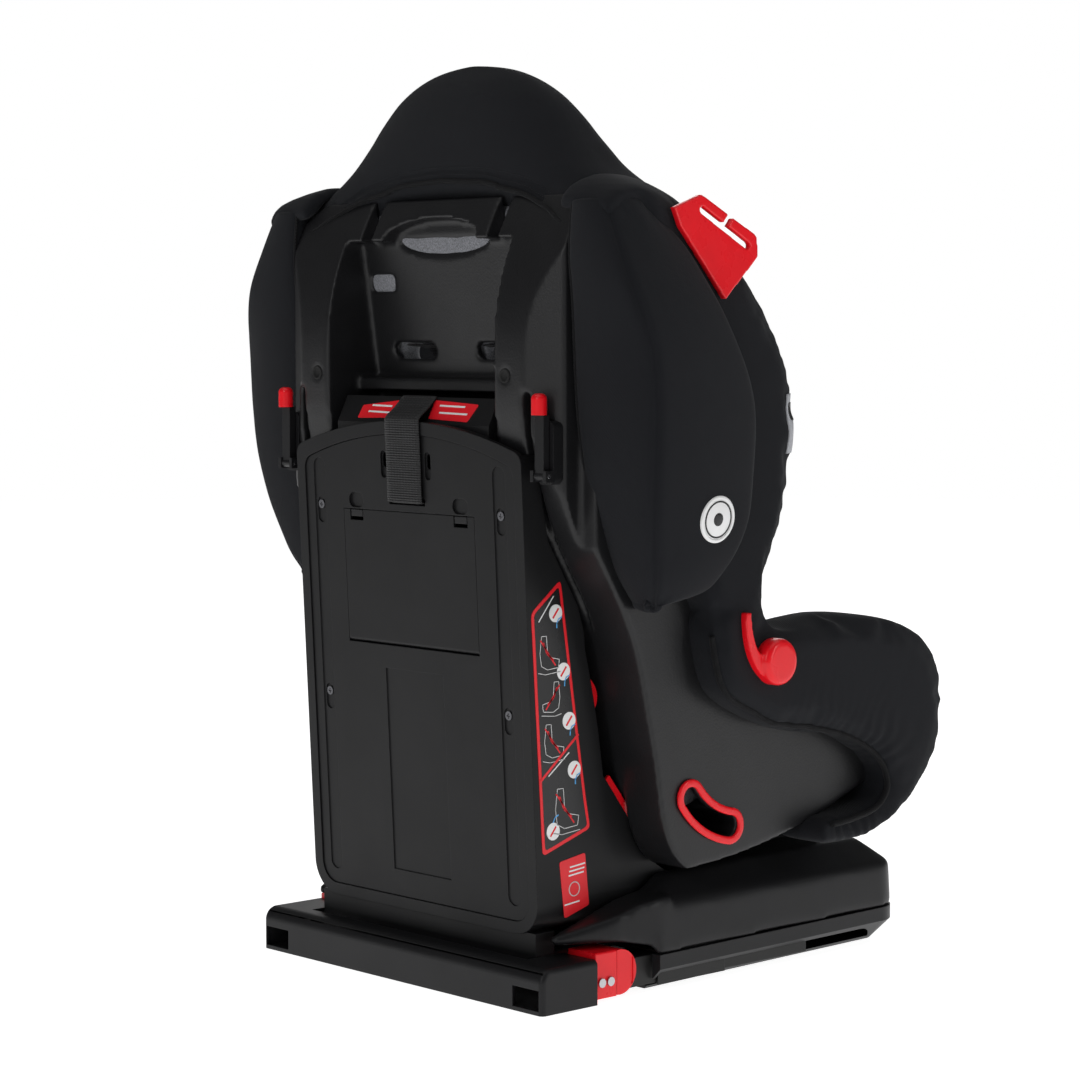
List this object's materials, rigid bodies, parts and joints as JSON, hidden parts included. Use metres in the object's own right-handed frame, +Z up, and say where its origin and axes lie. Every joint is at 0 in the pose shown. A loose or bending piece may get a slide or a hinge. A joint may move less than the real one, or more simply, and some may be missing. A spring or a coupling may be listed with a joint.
{
  "type": "convertible car seat",
  "caption": "Forward-facing child car seat: padded bucket shell with harness and side pads, reclining on a base with a rear tower, top tether store and pull-out ISOFIX arms.",
  "frame": {"origin": "on the floor, at the middle of the seat's footprint", "axes": "+Z up; the child faces -Y; the ISOFIX connectors point to +Y; +X is the child's left"},
  "size_m": [0.456, 0.43, 0.663],
  "materials": {
    "moulded_black": "fine moulded grain, satin",
    "shell_black": "blow-moulded, satin with leather grain",
    "red_plastic": "glossy red",
    "black_steel": "black powder coat",
    "bright_steel": "zinc or chrome plated",
    "rubber": "matt",
    "webbing": "woven polyester webbing",
    "fabric_black": "fine knitted polyester over foam",
    "fabric_grey": "grey melange knit over foam",
    "label": "printed film"
  },
  "bodies": {
    "base": {"base_tub": "moulded_black", "base_feet": "rubber", "base_cover": "moulded_black", "base_pedestal": "moulded_black", "tower_housing": "moulded_black", "tower_panel": "moulded_black", "panel_screws": "bright_steel", "door_hinge_pin": "bright_steel", "tower_hood": "moulded_black", "tower_frame": "black_steel", "tether_strap": "webbing", "tether_hook": "bright_steel", "tether_adjuster": "bright_steel", "belt_guides": "red_plastic", "isofix_tracks": "black_steel", "side_labels": "label"},
    "storage_door": {"storage_door": "moulded_black"},
    "door_latches": {"door_latches": "moulded_black"},
    "isofix_arms": {"isofix_arm_left": "black_steel", "isofix_arm_right": "black_steel", "isofix_cases": "red_plastic", "isofix_rivets": "bright_steel", "isofix_cross_tube": "black_steel"},
    "isofix_hook_left": {"isofix_hook_left": "bright_steel"},
    "isofix_hook_right": {"isofix_hook_right": "bright_steel"},
    "isofix_release_left": {"isofix_release_left": "red_plastic"},
    "isofix_release_right": {"isofix_release_right": "red_plastic"},
    "guide_bar": {"guide_bar": "moulded_black"},
    "recline_handle": {"recline_handle": "red_plastic"},
    "seat": {"seat_shell": "shell_black", "lap_slot_bezels": "red_plastic", "recline_slider": "moulded_black", "arm_hooks": "red_plastic", "shoulder_belt_guides": "red_plastic", "lockoff_bodies": "moulded_black", "lockoff_pins": "bright_steel", "side_pod_left": "fabric_black", "side_pod_right": "fabric_black", "wing_cover_left": "fabric_black", "wing_cover_right": "fabric_black", "arm_cover_left": "fabric_black", "arm_cover_right": "fabric_black", "head_cover": "fabric_black", "back_cushion": "fabric_grey", "seat_cushion": "fabric_grey", "harness_webbing": "webbing", "shoulder_pads": "fabric_black", "buckle": "moulded_black", "buckle_tongues": "bright_steel", "crotch_strap": "webbing", "crotch_pad": "fabric_black", "adjuster_case": "moulded_black", "adjuster_strap": "webbing", "harness_yoke": "bright_steel"},
    "lockoff_lever_left": {"lockoff_lever_left": "moulded_black", "lockoff_tip_left": "red_plastic"},
    "lockoff_lever_right": {"lockoff_lever_right": "moulded_black", "lockoff_tip_right": "red_plastic"},
    "buckle_button": {"buckle_button": "red_plastic"},
    "adjuster_button": {"adjuster_button": "red_plastic"}
  },
  "joints": [
    {"name": "recline", "type": "hinge", "parent": "base", "child": "seat", "pos_m": [0, 0.1, 0.617], "axis": [-1, 0, 0], "range_deg": [0, 9]},
    {"name": "storage_door_hinge", "type": "hinge", "parent": "base", "child": "storage_door", "pos_m": [0, 0.1945, 0.2455], "axis": [-1, 0, 0], "range_deg": [0, 90]},
    {"name": "door_latch_press", "type": "slide", "parent": "storage_door", "child": "door_latches", "axis": [0, -0.0508, -0.9987], "range_m": [0, 0.002], "stiffness_N_per_m": 300},
    {"name": "isofix_slide", "type": "slide", "parent": "base", "child": "isofix_arms", "axis": [0, 1, 0], "range_m": [0, 0.06]},
    {"name": "guide_bar_pull", "type": "slide", "parent": "isofix_arms", "child": "guide_bar", "axis": [0, 1, 0], "range_m": [0, 0.07]},
    {"name": "release_left_pull", "type": "slide", "parent": "isofix_arms", "child": "isofix_release_left", "axis": [0, -1, 0], "range_m": [0, 0.008], "stiffness_N_per_m": 400},
    {"name": "release_right_pull", "type": "slide", "parent": "isofix_arms", "child": "isofix_release_right", "axis": [0, -1, 0], "range_m": [0, 0.008], "stiffness_N_per_m": 400},
    {"name": "hook_left_open", "type": "hinge", "parent": "isofix_arms", "child": "isofix_hook_left", "pos_m": [0.14, 0.162, 0.021], "axis": [1, 0, 0], "range_deg": [0, 20]},
    {"name": "hook_right_open", "type": "hinge", "parent": "isofix_arms", "child": "isofix_hook_right", "pos_m": [-0.14, 0.162, 0.021], "axis": [1, 0, 0], "range_deg": [0, 20]},
    {"name": "recline_handle_pull", "type": "slide", "parent": "base", "child": "recline_handle", "axis": [0, -1, 0], "range_m": [0, 0.012], "stiffness_N_per_m": 500},
    {"name": "lockoff_left", "type": "hinge", "parent": "seat", "child": "lockoff_lever_left", "pos_m": [0.141, 0.2006, 0.372], "axis": [-1, 0, 0], "range_deg": [0, 60]},
    {"name": "lockoff_right", "type": "hinge", "parent": "seat", "child": "lockoff_lever_right", "pos_m": [-0.141, 0.2006, 0.372], "axis": [-1, 0, 0], "range_deg": [0, 60]},
    {"name": "buckle_press", "type": "slide", "parent": "seat", "child": "buckle_button", "axis": [0, 1, 0], "range_m": [0, 0.004], "stiffness_N_per_m": 1200},
    {"name": "adjuster_press", "type": "slide", "parent": "seat", "child": "adjuster_button", "axis": [0, 0, -1], "range_m": [0, 0.003], "stiffness_N_per_m": 1200}
  ],
  "couplings": [
    {"joint": "hook_left_open", "follows": "release_left_pull", "rad_per_m": 43.59},
    {"joint": "hook_right_open", "follows": "release_right_pull", "rad_per_m": 43.59}
  ]
}
